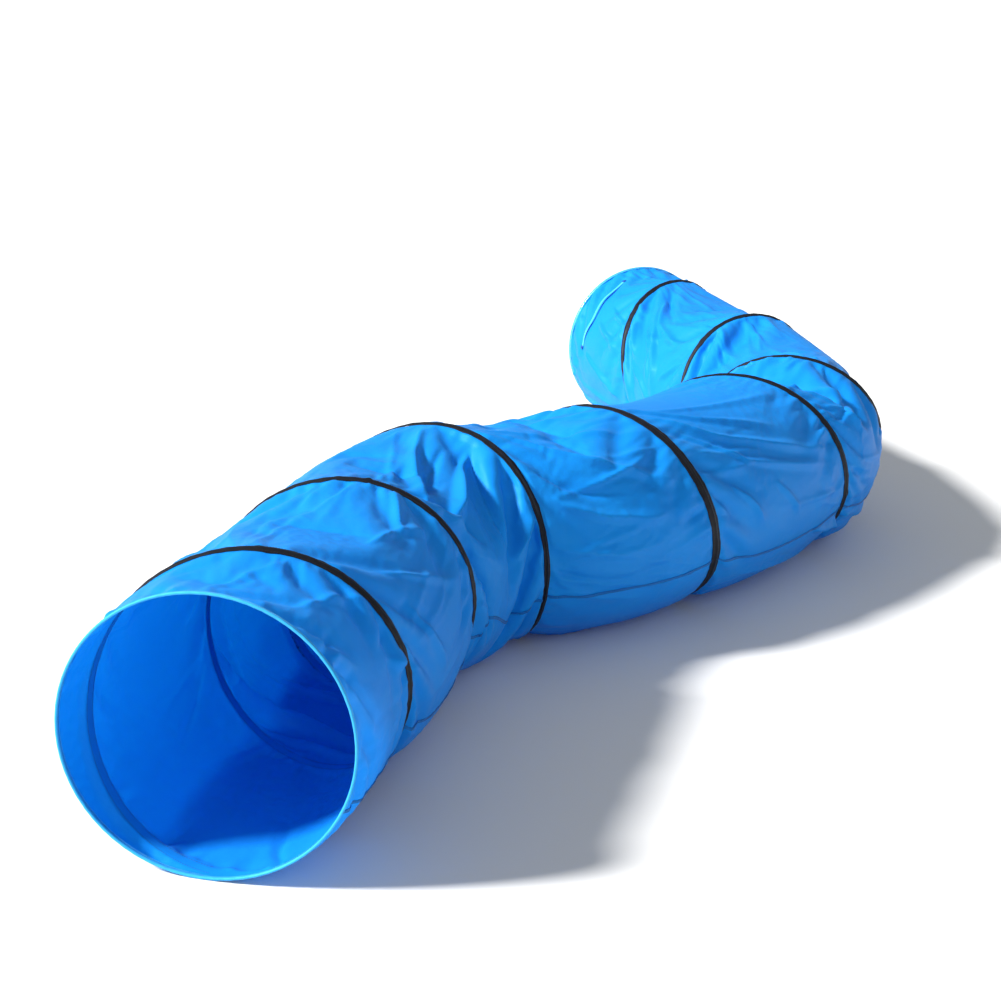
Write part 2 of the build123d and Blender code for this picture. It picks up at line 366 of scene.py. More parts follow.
def simulate_cloth(steps):
    q, angle, low, high, f, along = strip_rest()
    ang = np.broadcast_to(angle, along.shape)
    P = on_tube(along.ravel(), ang.ravel(), CLOTH_R).reshape(along.shape + (3,))
    out = out_dir(along.ravel(), ang.ravel()).reshape(P.shape)
    # how much longer the cloth is than the way it has to go
    length = np.linalg.norm(np.diff(P, axis=0), axis=2).sum(0)
    slack = np.interp(q, SLACK_AT, SLACK)
    wide = COLS * 3 // 8
    padded = np.pad(length, wide, mode="edge")
    longest = np.max([padded[i:i + len(length)] for i in range(0, 2 * wide + 1, 4)], axis=0)
    grown = np.clip(np.minimum(q, TURNS + 1 - q) - 0.25, 0, 1)
    longest = length + np.interp(q, SLACK_AT, IN_BENDS) * (longest - length) * grown
    longest = np.convolve(np.pad(longest, 16, mode="edge"), np.ones(33) / 33, "valid")
    excess = np.clip(slack * longest / np.maximum(length, 1e-4), 0.992, 1.17)
    excess = np.convolve(np.pad(excess, 8, mode="edge"), np.ones(17) / 17, "valid")
    a = P[1:] - P[:-1]
    c = P[:, 1:] - P[:, :-1]
    la = np.linalg.norm(a, axis=2)
    ra = la * excess[None, :]
    ra[0] = la[0]
    ra[-1] = la[-1]
    unit = a / (la[..., None] + 1e-12)
    unit = np.concatenate([unit, unit[-1:]])[:, :-1]
    cx = (c * unit).sum(2)
    cy = np.linalg.norm(c - cx[..., None] * unit, axis=2)
    ex = (excess[1:] + excess[:-1])[None] / 2
    around = 1.020
    rc = np.hypot(cx * 1.0, cy * around)
    aa = la[:, :-1]
    r1 = np.hypot((aa + cx[:-1]) * ex, cy[:-1] * around)
    r2 = np.hypot((aa - cx[1:]) * ex, cy[1:] * around)
    # a start that is already a little rumpled
    u = np.broadcast_to(angle * CLOTH_R, along.shape)
    bump = smooth_noise(RNG, u, along, 26, 0.10, 0.45)
    swell = np.sin(math.pi * np.clip(f, 0, 1))
    spare = np.clip((excess - 1) * 2.2, 0.05, 0.6)[None]
    start = 0.010 * swell * spare * 2 + 0.030 * bump * swell * spare
    X = P + out * start[..., None]
    rest_P = P.copy()
    prev = X.copy()
    free = np.ones(along.shape)
    free[0] = free[-1] = 0
    free[:, 0] = free[:, -1] = 0
    down = np.array([0, 0, -1.0])

    def pull(A, B, wa, wb, rest, k, push_only=False):
        d = B - A
        l = np.sqrt((d * d).sum(-1)) + 1e-9
        e = (l - rest) / l
        if push_only:
            e = np.minimum(e, 0)
        e = (k * e / np.maximum(wa + wb, 1e-6))[..., None] * d
        A += e * wa[..., None]
        B -= e * wb[..., None]

    w = free
    g = 0.8e-5
    for step in range(steps):
        vel = (X - prev) * 0.975
        prev = X.copy()
        X = X + vel * w[..., None]
        if step % 10 == 0:
            n = np.zeros_like(X)
            n[1:-1, 1:-1] = np.cross(X[1:-1, 2:] - X[1:-1, :-2], X[2:, 1:-1] - X[:-2, 1:-1])
            n /= np.linalg.norm(n, axis=2, keepdims=True) + 1e-12
            n *= np.sign((n * out).sum(2, keepdims=True) + 1e-12)
        X += w[..., None] * (g * down + 0.95 * g * n)
        for s in (0, 1):
            A, B = X[s:-1:2], X[s + 1::2]
            pull(A, B, w[s:-1:2], w[s + 1::2], ra[s::2], 0.9)
        for s in (0, 1):
            A, B = X[:, s:-1:2], X[:, s + 1::2]
            pull(A, B, w[:, s:-1:2], w[:, s + 1::2], rc[:, s::2], 0.9)
        for s in (0, 1):
            A, B = X[s:-1:2, :-1], X[s + 1::2, 1:]
            pull(A, B, w[s:-1:2, :-1], w[s + 1::2, 1:], r1[s::2], 0.35)
            A, B = X[s:-1:2, 1:], X[s + 1::2, :-1]
            pull(A, B, w[s:-1:2, 1:], w[s + 1::2, :-1], r2[s::2], 0.35)
        for k, stiff in ((2, 0.12), (4, 0.10)):
            # bending: points a few apart don't like to come closer
            ref = sum(ra[i:i + ra.shape[0] - k + 1] for i in range(k))
            for s in range(0, 2 * k, k):
                A, B = X[s:-k:2 * k], X[s + k::2 * k]
                h = min(len(A), len(B))
                pull(A[:h], B[:h], w[s:-k:2 * k][:h], w[s + k::2 * k][:h],
                     ref[s::2 * k][:h], stiff, True)
            ref = sum(rc[:, i:i + rc.shape[1] - k + 1] for i in range(k))
            for s in range(0, 2 * k, k):
                A, B = X[:, s:-k:2 * k], X[:, s + k::2 * k]
                h = min(A.shape[1], B.shape[1])
                pull(A[:, :h], B[:, :h], w[:, s:-k:2 * k][:, :h], w[:, s + k::2 * k][:, :h],
                     ref[:, s::2 * k][:, :h] * 0.995, stiff, True)
        # the tape keeps the cloth flat across the wire
        A, B = X[-2, :-COLS], X[1, COLS:]
        pull(A, B, w[-2, :-COLS], w[1, COLS:],
             np.full(A.shape[0], 2 * TAPE_HALF * 0.985), 0.5, True)
        # it stays near the tube, and on the ground
        d = X - rest_P
        l = np.sqrt((d * d).sum(2))
        cap = 0.085
        X = np.where((l > cap)[..., None], rest_P + d * (cap / (l + 1e-9))[..., None], X)
        X[..., 2] = np.maximum(X[..., 2], np.where(w > 0, 0.0022, X[..., 2]))
    return q, angle, f, along, X, excess


def upsample(A, axis, factor):
    """Cubic resampling along one axis of a grid, through its points."""
    A = np.moveaxis(A, axis, 0)
    n = len(A)
    B = np.concatenate([2 * A[:1] - A[1:2], A, 2 * A[-1:] - A[-2:-1]])
    out = []
    for j in range(factor):
        t = j / factor
        p0, p1, p2, p3 = B[:-3], B[1:-2], B[2:-1], B[3:]
        out.append(0.5 * (2 * p1 + (p2 - p0) * t + (2 * p0 - 5 * p1 + 4 * p2 - p3) * t * t
                          + (3 * p1 - p0 - 3 * p2 + p3) * t ** 3))
    C = np.stack(out, 1).reshape((-1,) + A.shape[1:])
    C = np.concatenate([C, A[-1:]])
    return np.moveaxis(C, 0, axis)


GRID_DS = 0.005


def offset_grid(angle, along, X):
    """The cloth's offsets from the plain tube: COLS columns round, a row every GRID_DS along."""
    s_grid = np.arange(NEAR_S, FAR_S + GRID_DS * 0.5, GRID_DS)
    grid = np.zeros((COLS, len(s_grid), 3))
    base = on_tube(along.ravel(), np.broadcast_to(angle, along.shape).ravel(), CLOTH_R)
    D = X - base.reshape(X.shape)
    for j in range(COLS):
        ss, dd = [], []
        for col in range(j, along.shape[1], COLS):
            s = along[:, col]
            if s[-1] - s[0] < 0.004:
                continue
            skip = 1 if ss else 0
            ss.append(s[skip:])
            dd.append(D[skip:, col])
        s, d = np.concatenate(ss), np.concatenate(dd)
        keep = np.concatenate([[True], np.diff(s) > 1e-5])
        s, d = s[keep], d[keep]
        slope = np.gradient(d, s, axis=0)
        i = np.clip(np.searchsorted(s, s_grid, side="right") - 1, 0, len(s) - 2)
        h = (s[i + 1] - s[i])[:, None]
        t = np.clip((s_grid - s[i])[:, None] / h, 0, 1)
        grid[j] = (d[i] * (1 + 2 * t) * (1 - t) ** 2 + h * slope[i] * t * (1 - t) ** 2
                   + d[i + 1] * t * t * (3 - 2 * t) - h * slope[i + 1] * t * t * (1 - t))
    return grid


def cubic_taps(t):
    return (
        0.5 * (-t + 2 * t * t - t ** 3), 0.5 * (2 - 5 * t * t + 3 * t ** 3),
        0.5 * (t + 4 * t * t - 3 * t ** 3), 0.5 * (-t * t + t ** 3),
    )


def offset_at(s, a):
    """The cloth's offset from the plain tube at points s along and a round, for arrays."""
    u = ((a / (2 * math.pi) - PHASE) % 1.0) * COLS
    v = (np.clip(s, NEAR_S, FAR_S) - NEAR_S) / GRID_DS
    iu, iv = np.floor(u).astype(int), np.clip(np.floor(v).astype(int), 0, GRID.shape[1] - 2)
    wu, wv = cubic_taps(u - iu), cubic_taps(np.clip(v - iv, 0, 1))
    out = np.zeros(np.shape(s) + (3,))
    for p in range(4):
        for r in range(4):
            col = (iu + p - 1) % COLS
            row = np.clip(iv + r - 1, 0, GRID.shape[1] - 1)
            out += (wu[p] * wv[r])[..., None] * GRID[col, row]
    return out


def passes(s, a):
    """Signed distance along the tube to the nearest pass of the wire, and how far round the coil
    that is, in turns."""
    t0 = (a / (2 * math.pi) - PHASE) % 1.0
    best = np.full(np.shape(s), 9.0)
    where = np.zeros(np.shape(s))
    for k in range(TURNS + 1):
        t = t0 + k
        d = s - coil_along(np.minimum(t, TURNS))
        d = np.where(t > TURNS, 9.0, d)
        near = np.abs(d) < np.abs(best)
        best = np.where(near, d, best)
        where = np.where(near, t, where)
    return best, where


WAVES = np.random.RandomState(5)
PUCKER = [(WAVES.uniform(0.026, 0.044), WAVES.uniform(0, 6.28), WAVES.uniform(-0.5, 0.5)) for _ in range(5)]
PULLS = [(WAVES.uniform(0.045, 0.120), WAVES.uniform(0, 6.28), WAVES.uniform(-0.45, 0.45)) for _ in range(9)]
CRUMPLE = [(math.exp(WAVES.uniform(math.log(0.03), math.log(0.11))), WAVES.uniform(0, math.pi),
            WAVES.uniform(0, 6.28)) for _ in range(22)]
PATCHES = [(WAVES.uniform(0.18, 0.60), WAVES.uniform(0, math.pi), WAVES.uniform(0, 6.28)) for _ in range(9)]


def patch(u, v, shift):
    out = 0
    for size, a, p in PATCHES:
        out = out + np.sin(2 * math.pi * (u * math.cos(a + shift) + v * math.sin(a + shift)) / size + p + 2 * shift)
    return out / 3.0


# The folds that lie in the cloth as it is laid out: points (distance along, degrees round), then the
# height in millimetres and the half width in millimetres at each end.
FOLDS = [
    (((1.40, 172), (1.14, 196), (0.92, 222)), 15, 16, 52),
    (((1.42, 199), (1.15, 221), (0.90, 231)), 18, 14, 50),
    (((1.42, 199), (1.30, 238), (1.28, 262)), -10, 14, 40),
    (((1.55, 246), (1.42, 253), (1.33, 262)), 12, 40, 26),
    (((1.36, 190), (1.10, 206), (0.90, 212)), -8, 14, 34),
    (((1.49, 191), (1.75, 217), (1.95, 233), (2.05, 241)), 9, 12, 34),
    (((1.50, 188), (1.73, 192), (1.99, 207)), 5, 10, 30),
    (((1.56, 222), (1.74, 236), (1.88, 240)), -5, 14, 34),
    (((1.62, 239), (1.77, 248), (1.98, 254)), 8, 16, 34),
    (((1.58, 262), (1.80, 268), (1.98, 266)), 5, 18, 36),
    (((2.02, 185), (2.24, 203), (2.57, 223)), 8, 10, 32),
    (((2.03, 192), (2.24, 217), (2.82, 250)), 8, 10, 36),
    (((2.08, 206), (2.31, 235), (2.78, 255)), 7, 10, 34),
    (((2.10, 188), (2.40, 196), (2.70, 204)), 5, 12, 34),
    (((2.09, 248), (2.14, 256), (2.19, 263)), 8, 12, 26),
    (((2.20, 246), (2.28, 257), (2.35, 271)), 8, 12, 28),
    (((2.42, 250), (2.50, 262), (2.56, 274)), 6, 12, 28),
    (((2.70, 291), (2.80, 297), (2.99, 303)), 11, 16, 36),
    (((2.30, 303), (2.60, 309), (2.90, 318)), 6, 20, 40),
    (((2.78, 190), (2.91, 197), (3.03, 222)), 10, 12, 36),
    (((2.82, 205), (2.92, 222), (3.00, 246)), 9, 12, 34),
    (((2.98, 178), (3.10, 184), (3.30, 176)), 8, 12, 36),
    (((3.02, 205), (3.16, 186), (3.46, 171)), 9, 14, 40),
    (((3.85, 148), (3.66, 150), (3.43, 147)), 7, 12, 34),
    (((3.43, 165), (3.60, 172), (3.84, 170)), 6, 12, 34),
    (((4.19, 128), (4.12, 117), (4.06, 108)), 9, 10, 24),
    (((4.16, 148), (4.03, 130), (3.90, 106), (3.87, 84)), 11, 10, 34),
    (((4.12, 132), (3.98, 116), (3.92, 94)), 7, 10, 26),
    (((4.11, 107), (3.96, 95), (3.88, 82)), 8, 10, 26),
    (((4.20, 158), (4.04, 136), (3.88, 128), (3.72, 131)), 8, 12, 34),
    (((3.86, 101), (3.78, 113), (3.70, 125)), 6, 12, 30),
    (((4.25, 166), (4.12, 152), (3.98, 141)), -7, 14, 30),
    (((4.42, 131), (4.28, 122), (4.14, 111)), 7, 9, 26),
    (((4.43, 117), (4.30, 108), (4.21, 101)), 7, 9, 26),
    (((4.47, 93), (4.32, 83), (4.15, 68)), 9, 10, 24),
    (((4.53, 66), (4.37, 65), (4.22, 61)), 8, 12, 26),
    (((4.58, 51), (4.40, 52), (4.28, 53)), 8, 12, 28),
    (((0.50, 218), (0.64, 232), (0.80, 245)), 6, 10, 28),
    (((0.56, 205), (0.70, 210), (0.82, 224)), 6, 10, 30),
    (((0.86, 198), (0.76, 206), (0.66, 216)), 6, 10, 26),
    (((0.06, 176), (0.20, 184), (0.30, 196)), 4, 12, 30),
    (((0.10, 206), (0.24, 214), (0.42, 232)), 5, 12, 32),
    (((0.52, 236), (0.57, 254), (0.64, 274)), 7, 14, 34),
    (((0.30, 246), (0.42, 262), (0.50, 284)), 6, 14, 36),
    (((0.04, 330), (0.14, 338), (0.30, 344)), 5, 14, 32),
    (((0.05, 22), (0.16, 16), (0.30, 12)), 6, 14, 34),
]


def more_folds():
    """Smaller fans of folds, which start at the tape and run out into each panel."""
    r = np.random.RandomState(21)
    found = []
    for _ in range(64):
        t = r.uniform(0.25, TURNS - 0.25)
        a = (math.degrees(2 * math.pi * (t + PHASE))) % 360
        s0 = float(coil_along(np.array([t]))[0])
        way = r.choice((-1, 1))
        after = float(coil_along(np.array([min(max(t + way, 0), TURNS)]))[0])
        room = abs(after - s0) - 0.05
        lean = r.uniform(-38, 38)
        for _ in range(r.randint(2, 5)):
            reach = max(0.09, room * r.uniform(0.35, 0.95))
            drift = lean + r.uniform(-16, 16)
            start = a + r.uniform(-9, 9)
            p = [(s0 + way * (0.022 + reach * f), start + drift * f ** 0.8 * reach / 0.5) for f in (0, 0.35, 0.7, 1)]
            if min(x for x, _ in p) < 0.03 or max(x for x, _ in p) > TOTAL - 0.03:
                continue
            found.append((tuple(p), r.choice((1, 1, -0.7)) * r.uniform(2.0, 5.5), r.uniform(6, 11), r.uniform(18, 36)))
    return found


FOLDS = [(_line, 1.32 * _h, _w0, _w1) for _line, _h, _w0, _w1 in FOLDS] + more_folds()


def folds(s, a):
    """The height of the listed folds: a rounded ridge along each line, wider towards its end."""
    out = np.zeros(s.shape)
    round_at = a % (2 * math.pi)
    for line, height, w0, w1 in FOLDS:
        px = np.array([p[0] for p in line])
        deg = np.array([p[1] for p in line], float)
        py = np.radians(deg) * CLOTH_R
        top = max(w0, w1) / 1000
        # the line may cross the bottom, where the angle starts again
        girth = 2 * math.pi * CLOTH_R
        y = round_at * CLOTH_R
        mid = py.mean()
        y = mid + (y - mid + girth / 2) % girth - girth / 2
        near = (s > px.min() - top) & (s < px.max() + top) & (y > py.min() - top) & (y < py.max() + top)
        if not near.any():
            continue
        x, yy = s[near], y[near]
        seg = np.hypot(np.diff(px), np.diff(py))
        whole = seg.sum()
        best = np.full(x.shape, 9.0)
        f = np.zeros(x.shape)
        run = 0.0
        for i in range(len(seg)):
            dx, dy = px[i + 1] - px[i], py[i + 1] - py[i]
            t = np.clip(((x - px[i]) * dx + (yy - py[i]) * dy) / (seg[i] ** 2), 0, 1)
            d = np.hypot(x - px[i] - t * dx, yy - py[i] - t * dy)
            closer = d < best
            best = np.where(closer, d, best)
            f = np.where(closer, (run + t * seg[i]) / whole, f)
            run += seg[i]
        width = (w0 + (w1 - w0) * f) / 1000
        q = np.clip(best / width, 0, 1)
        shape = 0.68 * (1 - q) ** 2 + 0.32 * (1 - q * q) ** 2
        rise = np.clip(f / 0.18, 0, 1) * np.clip((1 - f) / 0.30, 0, 1)
        rise = rise * (2 - rise) * (0.45 + 0.55 * np.sin(math.pi * np.clip(f, 0, 1)))
        out[near] += height / 1000 * 1.3 * shape * rise
    return out


def wrinkles(s, a):
    """Small wrinkles, as a height out of the cloth: puckers along the tape's edges, the folds
    that run off from them, and the crumpling of thin cloth."""
    d, t = passes(s, a)
    # distance to a mouth's stitching counts as well
    near, far = s - 0.012, TOTAL - 0.012 - s
    gap = np.minimum(np.abs(d), np.minimum(np.abs(near), np.abs(far)))
    turn = (a / (2 * math.pi) - PHASE) % 1.0
    u = turn * 2 * math.pi * CLOTH_R
    # waves that close on themselves round the tube are whole numbers of the way round
    girth = 2 * math.pi * CLOTH_R
    warp = 0.012 * np.sin(2 * math.pi * 3 * turn + 9 * s) + 0.007 * np.sin(2 * math.pi * 8 * turn + 23 * s)
    edge = np.clip((gap - 0.0125) / 0.009, 0, 1)
    edge = edge * edge * (3 - 2 * edge)
    puck = 0
    for size, p, lean in PUCKER:
        n = round(girth / size)
        puck = puck + np.sin(2 * math.pi * n * (turn + warp / girth) + p + lean * s * 2 * math.pi / size)
    strength = 0.55 + 0.45 * np.clip(patch(u, s, 0.4), -1, 1)
    out = 0.00062 * puck * strength * edge * np.exp(-np.maximum(gap - 0.018, 0) / 0.022)
    pull = 0
    for size, p, lean in PULLS:
        n = round(girth / size)
        pull = pull + np.sin(2 * math.pi * n * (turn + 1.6 * warp / girth) + p + lean * s * 2 * math.pi / size)
    pull = np.sign(pull) * np.abs(pull / 2.2) ** 1.25
    out = out + 0.0034 * pull * edge * np.exp(-np.maximum(gap - 0.02, 0) / 0.075) * (
        0.5 + 0.5 * np.clip(patch(u, s, 1.9), -1, 1))
    fine = 0
    for size, b, p in CRUMPLE:
        n = round(girth / size * math.cos(b))
        fine = fine + math.sqrt(size / 0.06) * np.sin(2 * math.pi * n * turn + 2 * math.pi * s * math.sin(b) / size + p)
    fine = 1 - 2 * np.abs(np.tanh(fine / 4.5))
    out = out + 0.0011 * fine * edge * (0.45 + 0.55 * np.clip(patch(u, s, 3.1), -1, 1))
    mouth = np.clip(np.minimum(near, far) / 0.012, 0, 1)
    away = np.clip((gap - 0.013) / 0.022, 0, 1)
    return out * mouth + folds(s, a) * away * away * (3 - 2 * away)


def cloth_surface(s, a, lift=0.0):
    """Points on the finished cloth, lifted off it by a height."""
    s, a = np.broadcast_arrays(np.asarray(s, float), np.asarray(a, float))
    out = out_dir(s.ravel(), a.ravel()).reshape(s.shape + (3,))
    p = on_tube(s.ravel(), a.ravel(), CLOTH_R).reshape(s.shape + (3,))
    h = np.asarray(wrinkles(s, a) + lift)[..., None]
    d, _ = passes(s, a)
    flat = np.clip((np.abs(d) - 0.011) / 0.022, 0, 1)
    flat = flat * flat * (3 - 2 * flat)
    o = offset_at(s, a) * flat[..., None]
    # at the planes between turns, where the pieces meet, the cloth doesn't slip along the tube
    ahead = along_dir(s.ravel()).reshape(s.shape + (3,))
    slip = (o * ahead).sum(-1)
    free = np.clip(np.abs(s[..., None] - ALONG).min(-1) / 0.06, 0, 1)
    free = free * free * (3 - 2 * free)
    o = o - ahead * (slip * (1 - free))[..., None]
    p = p + o + out * h
    p[..., 2] = np.maximum(p[..., 2], 0.0016)
    return p


steps = 700
_q, _angle, _f, _along, _X, EXCESS = simulate_cloth(steps)
print("slack by half turns", np.round(EXCESS[::64], 3).tolist())
GRID = offset_grid(_angle, _along, _X)
print("cloth: offsets up to", float(np.abs(GRID).max()), "top", float(_X[..., 2].max()))


# ------------------------------------------------------------------------------------------------
# Materials
# ------------------------------------------------------------------------------------------------
def material(name):
    m = bpy.data.materials.new(name)
    m.use_nodes = True
    nt = m.node_tree
    nt.nodes.clear()
    return m, nt.nodes, nt.links


def node(nodes, kind, **values):
    n = nodes.new(kind)
    for key, value in values.items():
        if key in n.inputs:
            n.inputs[key].default_value = value
        else:
            setattr(n, key, value)
    return n


def cloth_material(name, deep, bright, rough, glow, weave=1400.0, crumple=0.35):
    m, nodes, links = material(name)
    out = node(nodes, "ShaderNodeOutputMaterial")
    bsdf = node(nodes, "ShaderNodeBsdfPrincipled")
    bsdf.inputs["Specular IOR Level"].default_value = 0.34
    bsdf.inputs["Specular Tint"].default_value = (0.24, 0.80, 1.0, 1)
    bsdf.inputs["Sheen Weight"].default_value = 0.05
    bsdf.inputs["Sheen Roughness"].default_value = 0.4
    bsdf.inputs["Sheen Tint"].default_value = (0.45, 0.8, 1.0, 1)
    uv = node(nodes, "ShaderNodeUVMap", uv_map="ClothUV")
    obj = node(nodes, "ShaderNodeTexCoord")
    # patchy dye and wear
    cloudy = node(nodes, "ShaderNodeTexNoise")
    cloudy.inputs["Scale"].default_value = 7
    cloudy.inputs["Detail"].default_value = 4
    links.new(obj.outputs["Object"], cloudy.inputs["Vector"])
    ramp = node(nodes, "ShaderNodeMixRGB")
    ramp.inputs["Color1"].default_value = (*deep, 1)
    ramp.inputs["Color2"].default_value = (*bright, 1)
    links.new(cloudy.outputs["Fac"], ramp.inputs["Fac"])
    # the weave: two sets of threads
    waves = []
    for direction in ("X", "Y"):
        w = node(nodes, "ShaderNodeTexWave", wave_type="BANDS", bands_direction=direction)
        w.inputs["Scale"].default_value = weave
        w.inputs["Distortion"].default_value = 0.6
        w.inputs["Detail"].default_value = 1
        links.new(uv.outputs["UV"], w.inputs["Vector"])
        waves.append(w)
    over = node(nodes, "ShaderNodeMath", operation="MAXIMUM")
    links.new(waves[0].outputs["Fac"], over.inputs[0])
    links.new(waves[1].outputs["Fac"], over.inputs[1])
    dark = node(nodes, "ShaderNodeMixRGB", blend_type="MULTIPLY")
    dark.inputs["Fac"].default_value = 0.18
    links.new(ramp.outputs["Color"], dark.inputs["Color1"])
    links.new(over.outputs["Value"], dark.inputs["Color2"])
    links.new(dark.outputs["Color"], bsdf.inputs["Base Color"])
    # gloss varies a little
    shine = node(nodes, "ShaderNodeTexNoise")
    shine.inputs["Scale"].default_value = 26
    shine.inputs["Detail"].default_value = 3
    links.new(obj.outputs["Object"], shine.inputs["Vector"])
    span = node(nodes, "ShaderNodeMapRange")
    span.inputs["To Min"].default_value = rough - 0.06
    span.inputs["To Max"].default_value = rough + 0.08
    links.new(shine.outputs["Fac"], span.inputs["Value"])
    links.new(span.outputs["Result"], bsdf.inputs["Roughness"])
    # fine creasing and the threads, in the surface
    crease = node(nodes, "ShaderNodeTexNoise")
    crease.inputs["Scale"].default_value = 38
    crease.inputs["Detail"].default_value = 5
    crease.inputs["Roughness"].default_value = 0.55
    links.new(obj.outputs["Object"], crease.inputs["Vector"])
    b1 = node(nodes, "ShaderNodeBump")
    b1.inputs["Strength"].default_value = crumple
    b1.inputs["Distance"].default_value = 0.003
    links.new(crease.outputs["Fac"], b1.inputs["Height"])
    b2 = node(nodes, "ShaderNodeBump")
    b2.inputs["Strength"].default_value = 0.25
    b2.inputs["Distance"].default_value = 0.0002
    links.new(over.outputs["Value"], b2.inputs["Height"])
    links.new(b1.outputs["Normal"], b2.inputs["Normal"])
    links.new(b2.outputs["Normal"], bsdf.inputs["Normal"])
    if glow > 0:
        tr = node(nodes, "ShaderNodeBsdfTranslucent")
        through = node(nodes, "ShaderNodeMixRGB", blend_type="MULTIPLY")
        through.inputs["Fac"].default_value = 0.12
        through.inputs["Color1"].default_value = (0.018, 0.60, 1.0, 1)
        links.new(over.outputs["Value"], through.inputs["Color2"])
        links.new(through.outputs["Color"], tr.inputs["Color"])
        links.new(b1.outputs["Normal"], tr.inputs["Normal"])
        mix = node(nodes, "ShaderNodeMixShader")
        mix.inputs["Fac"].default_value = glow
        links.new(bsdf.outputs["BSDF"], mix.inputs[1])
        links.new(tr.outputs["BSDF"], mix.inputs[2])
        links.new(mix.outputs["Shader"], out.inputs["Surface"])
    else:
        links.new(bsdf.outputs["BSDF"], out.inputs["Surface"])
    return m


def hard_material(name, base, vary, rough, metallic, scale, bump, distance=0.0004, stretch=(1, 1, 1)):
    m, nodes, links = material(name)
    out = node(nodes, "ShaderNodeOutputMaterial")
    bsdf = node(nodes, "ShaderNodeBsdfPrincipled")
    bsdf.inputs["Metallic"].default_value = metallic
    obj = node(nodes, "ShaderNodeTexCoord")
    mapping = node(nodes, "ShaderNodeMapping")
    mapping.inputs["Scale"].default_value = stretch
    links.new(obj.outputs["Object"], mapping.inputs["Vector"])
    n1 = node(nodes, "ShaderNodeTexNoise")
    n1.inputs["Scale"].default_value = scale
    n1.inputs["Detail"].default_value = 5
    links.new(mapping.outputs["Vector"], n1.inputs["Vector"])
    mix = node(nodes, "ShaderNodeMixRGB")
    mix.inputs["Color1"].default_value = (*base, 1)
    mix.inputs["Color2"].default_value = (*vary, 1)
    links.new(n1.outputs["Fac"], mix.inputs["Fac"])
    links.new(mix.outputs["Color"], bsdf.inputs["Base Color"])
    span = node(nodes, "ShaderNodeMapRange")
    span.inputs["To Min"].default_value = max(rough - 0.1, 0.05)
    span.inputs["To Max"].default_value = min(rough + 0.1, 1)
    links.new(n1.outputs["Fac"], span.inputs["Value"])
    links.new(span.outputs["Result"], bsdf.inputs["Roughness"])
    b = node(nodes, "ShaderNodeBump")
    b.inputs["Strength"].default_value = bump
    b.inputs["Distance"].default_value = distance
    links.new(n1.outputs["Fac"], b.inputs["Height"])
    links.new(b.outputs["Normal"], bsdf.inputs["Normal"])
    links.new(bsdf.outputs["BSDF"], out.inputs["Surface"])
    return m


CLOTH = cloth_material("azure_polyester", (0.005, 0.282, 0.85), (0.014, 0.372, 0.94), 0.45, 0.33)
HEM = cloth_material("hem_polyester", (0.035, 0.40, 0.84), (0.06, 0.48, 0.92), 0.42, 0.12, crumple=0.5)
STRAP = cloth_material("strap_webbing", (0.05, 0.42, 0.84), (0.08, 0.50, 0.90), 0.55, 0.0, weave=900.0)
TAPE = cloth_material("black_woven_tape", (0.0035, 0.0042, 0.007), (0.008, 0.009, 0.013), 0.5, 0.0,
                      weave=700.0, crumple=0.6)
_tape = TAPE.node_tree.nodes["Principled BSDF"]
_tape.inputs["Sheen Weight"].default_value = 0.0
_tape.inputs["Specular IOR Level"].default_value = 0.22
_tape.inputs["Specular Tint"].default_value = (0.8, 0.85, 1.0, 1)
THREAD = hard_material("navy_thread", (0.004, 0.035, 0.16), (0.008, 0.06, 0.24), 0.6, 0.0, 900, 0.5, 0.0002)
TACK_THREAD = hard_material("tack_thread", (0.006, 0.07, 0.34), (0.012, 0.11, 0.46), 0.6, 0.0, 900, 0.5, 0.0002)
BLACK_THREAD = hard_material("black_thread", (0.004, 0.004, 0.006), (0.012, 0.012, 0.016), 0.6, 0.0, 900, 0.5, 0.0002)
PALE_THREAD = hard_material("pale_thread", (0.10, 0.50, 0.86), (0.16, 0.62, 0.95), 0.55, 0.0, 900, 0.5, 0.0002)
STEEL = hard_material("spring_steel", (0.34, 0.34, 0.36), (0.50, 0.50, 0.51), 0.32, 1.0, 160, 0.25)
ZINC = hard_material("zinc_plate", (0.50, 0.52, 0.53), (0.66, 0.67, 0.66), 0.38, 1.0, 240, 0.3)


# ------------------------------------------------------------------------------------------------
# Cloth pieces, one for each turn
# ------------------------------------------------------------------------------------------------
ROUND = 320
ROW_STEP = 0.0062


def build_cloth():
    rows = []
    for k in range(TURNS):
        a, b = ALONG[k], ALONG[k + 1]
        a, b = max(a, NEAR_S), min(b, FAR_S)
        n = int(math.ceil((b - a) / ROW_STEP))
        rows.append(np.linspace(a, b, n + 1)[(0 if k == 0 else 1):])
    s = np.concatenate(rows)
    ang = 2 * math.pi * (np.arange(ROUND) / ROUND + PHASE)
    S, A = np.meshgrid(s, ang, indexing="ij")
    verts = cloth_surface(S, A).reshape(-1, 3)
    n = len(s)
    i, j = np.meshgrid(np.arange(n - 1), np.arange(ROUND), indexing="ij")
    j2 = (j + 1) % ROUND
    faces = np.stack([i * ROUND + j, i * ROUND + j2, (i + 1) * ROUND + j2, (i + 1) * ROUND + j], -1).reshape(-1, 4)
    d, _ = passes(S, A)
    band = np.clip(1 - (np.abs(d) - 0.014) / 0.003, 0, 1)
    uv = np.stack([A.ravel() * CLOTH_R, S.ravel()], 1)
    return verts, faces, S.ravel(), uv, band.ravel()


_v, _f2, _s, _uv, _band = build_cloth()
CLOTH_PIECES = split_by_turn("cloth_panel", _v, _f2, _s, _uv, CLOTH, 0.0005,
                             {"band": _band}, "cloth_turn")

